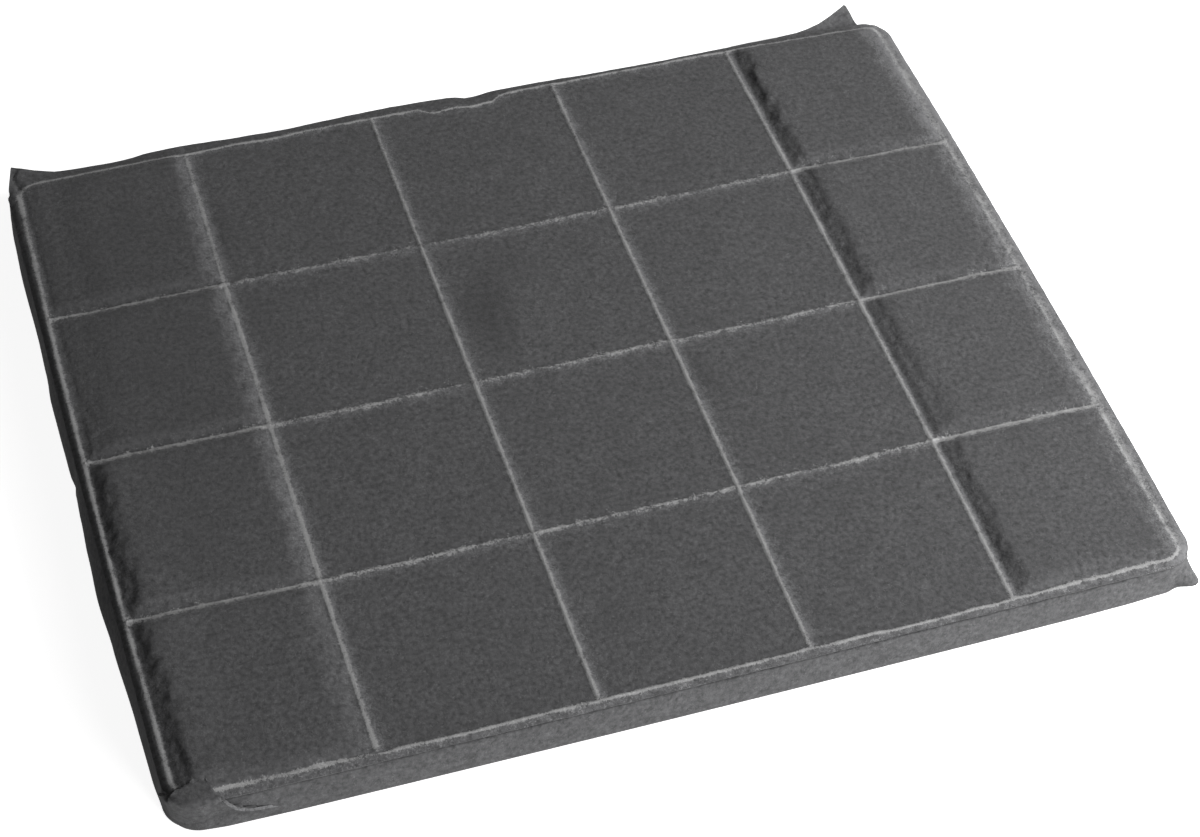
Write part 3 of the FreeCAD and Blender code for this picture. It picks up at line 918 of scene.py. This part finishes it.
def upright_fold(sizes):
    """Far right: the spare cloth stands off the far side as a pointed flap."""
    half_x, _, radius = panel_outline(sizes)
    bend = radius * math.pi / 2
    fold_start = half_x - radius
    lean = math.radians(50)
    stations = [bend + fold_start - x for x in evenly(UPRIGHT_FLAP[-1][0], UPRIGHT_FLAP[0][0], 0.4)]

    def profile(along):
        reach = line_at(fold_start - (along - bend), UPRIGHT_FLAP)
        root = (0.02, 8.35)
        return [(-0.3, 5.2), (0.0, 6.6), root,
                (root[0] + reach * 0.5 * math.cos(lean), root[1] + reach * 0.5 * math.sin(lean)),
                (root[0] + reach * math.cos(lean), root[1] + reach * math.sin(lean))]

    return fold_sheet("upright_fold", sizes, (1, 1), stations, profile, 14)


class FILTER_OT_lower_fleece(bpy.types.Operator):
    """Folds the lower fleece up round the frame, each corner in its own way"""
    bl_idname = "filter.lower_fleece"
    bl_label = "Lower fleece"

    def execute(self, context):
        sizes = context.scene.filter_sizes
        body = tray(sizes)
        folds = [turned_in_fold(sizes), upright_fold(sizes)]
        for fold in folds:
            take(fold)
            on_whole_mesh(bpy.ops.mesh.normals_make_consistent, inside=False)
            outward = fold.data.polygons[0].normal.dot(fold.data.polygons[0].center.xy.to_3d())
            if outward < 0:
                on_whole_mesh(bpy.ops.mesh.flip_normals)
            thicken(fold, sizes.fleece * 0.8)
        thicken(body, sizes.fleece)
        for fold in folds:
            fold.select_set(True)
        bpy.ops.object.join()
        body.data.materials.append(finish_of("Needled polyester fleece"))
        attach(body, "root")
        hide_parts("wrap_fleece")
        return {"FINISHED"}


class FILTER_OT_inner_parts(bpy.types.Operator):
    """Gives the frame and the carbon beds inside the fleece their own finishes"""
    bl_idname = "filter.inner_parts"
    bl_label = "Frame and carbon"

    def execute(self, context):
        for name, part in frame["nodes"].items():
            if name == "grid_frame":
                finish = finish_of("Moulded polypropylene")
            elif name.startswith("carbon_bed"):
                finish = finish_of("Activated carbon granules")
            else:
                finish = finish_of("Needled polyester fleece")
            part.data.materials.clear()
            part.data.materials.append(finish)
        return {"FINISHED"}


# Studio


# The camera of the photograph, in metres, degrees and millimetres of a 36 mm sensor.
CAMERA_PLACE = (-0.15064, -0.41006, 0.49318)
CAMERA_TURN = (40.8852, -2.6463, -18.1126)
CAMERA_LENS = 80.307


def seen_by_eye(tree):
    """1 for what is looked at, straight, in a reflection or through glass, and 0 for other light."""
    path = node(tree, "ShaderNodeLightPath").outputs
    seen = node(tree, "ShaderNodeMath", {
        0: path["Is Camera Ray"], 1: path["Is Glossy Ray"]}, operation="MAXIMUM")
    seen = node(tree, "ShaderNodeMath", {
        0: seen.outputs[0], 1: path["Is Transmission Ray"]}, operation="MAXIMUM")
    return seen.outputs[0]


def floor_material(colours):
    """Matt white paper: it throws light back on the part's sides, and is white to the camera, with
    the part's faint shadow."""
    made, tree = blank_material("Matt white paper")
    lit = node(tree, "ShaderNodeBsdfDiffuse", {"Color": tinted(colours.floor)})
    glow = node(tree, "ShaderNodeEmission", {"Strength": 0.9})
    shown = node(tree, "ShaderNodeAddShader", {0: lit.outputs[0], 1: glow.outputs[0]})
    paper = node(tree, "ShaderNodeBsdfDiffuse", {"Color": tinted(colours.floor, 0.8)})
    both = node(tree, "ShaderNodeMixShader", {
        0: seen_by_eye(tree), 1: paper.outputs[0], 2: shown.outputs[0]})
    node(tree, "ShaderNodeOutputMaterial", {"Surface": both.outputs[0]})
    return made


def soft_box(name, azimuth, elevation, away, size, power):
    """A square soft box that points at the panel. The azimuth is counted from the front."""
    azimuth, elevation = math.radians(azimuth), math.radians(elevation)
    spot = Vector((math.sin(azimuth) * math.cos(elevation), -math.cos(azimuth) * math.cos(elevation),
                   math.sin(elevation))) * away
    deselect_everything()
    bpy.ops.object.light_add(type="AREA", location=spot)
    box = bpy.context.active_object
    box.name = name
    box.rotation_euler = (-spot).to_track_quat("-Z", "Y").to_euler()
    box.data.shape = "SQUARE"
    box.data.size = size
    box.data.energy = power


class FILTER_OT_studio(bpy.types.Operator):
    """Sets the camera of the photograph, the pale floor and the soft light"""
    bl_idname = "filter.studio"
    bl_label = "Studio"

    def execute(self, context):
        scene = context.scene
        studio = scene.filter_studio
        deselect_everything()
        bpy.ops.object.camera_add(
            location=CAMERA_PLACE, rotation=[math.radians(turn) for turn in CAMERA_TURN])
        camera = context.active_object
        camera.name = "Camera"
        camera.data.lens = CAMERA_LENS
        camera.data.sensor_width = 36
        camera.data.clip_start = 0.01
        scene.camera = camera
        deselect_everything()
        bpy.ops.mesh.primitive_plane_add(size=6, location=(0, 0, 0))
        floor = context.active_object
        floor.name = "studio_floor"
        for vertex in floor.data.vertices:
            vertex.co.z = -0.0002
        floor.data.materials.append(floor_material(scene.filter_colours))
        soft_box("Key soft box", 72, 27, 0.70, 0.20, studio.key_power)
        soft_box("Front fill", 18, 9, 0.9, 0.4, studio.front_power)
        world = bpy.data.worlds.new("Studio")
        scene.world = world
        world.use_nodes = True
        tree = world.node_tree
        tree.nodes.clear()
        strength = node(tree, "ShaderNodeMapRange", {
            "Value": seen_by_eye(tree), "To Min": studio.fill, "To Max": 1.0})
        light = node(tree, "ShaderNodeBackground", {
            "Color": (1, 1, 1, 1), "Strength": strength.outputs[0]})
        node(tree, "ShaderNodeOutputWorld", {"Surface": light.outputs[0]})
        scene.view_settings.view_transform = "Standard"
        return {"FINISHED"}


class FILTER_PT_panel(bpy.types.Panel):
    """Lists the pieces of the carbon filter"""
    bl_idname = "FILTER_PT_panel"
    bl_label = "Carbon filter"
    bl_space_type = "VIEW_3D"
    bl_region_type = "UI"
    bl_category = "Carbon filter"

    def draw(self, context):
        scene = context.scene
        for group in (scene.filter_sizes, scene.filter_colours, scene.filter_studio):
            for name in group.bl_rna.properties.keys():
                if name not in ("rna_type", "name"):
                    self.layout.prop(group, name)
        for piece in PIECES:
            self.layout.operator(piece.bl_idname)


PIECES = (
    FILTER_OT_studio,
    FILTER_OT_upper_fleece,
    FILTER_OT_lower_fleece,
    FILTER_OT_inner_parts,
)
CLASSES = (FilterSizes, FilterColours, FilterStudio, *PIECES, FILTER_PT_panel)


def register():
    for item in CLASSES:
        bpy.utils.register_class(item)
    bpy.types.Scene.filter_sizes = PointerProperty(type=FilterSizes)
    bpy.types.Scene.filter_colours = PointerProperty(type=FilterColours)
    bpy.types.Scene.filter_studio = PointerProperty(type=FilterStudio)


def unregister():
    del bpy.types.Scene.filter_studio
    del bpy.types.Scene.filter_colours
    del bpy.types.Scene.filter_sizes
    for item in reversed(CLASSES):
        bpy.utils.unregister_class(item)


def main():
    register()
    bpy.ops.filter.studio()
    bpy.ops.filter.upper_fleece()
    bpy.ops.filter.lower_fleece()
    bpy.ops.filter.inner_parts()
    deselect_everything()


if __name__ == "__main__":
    main()
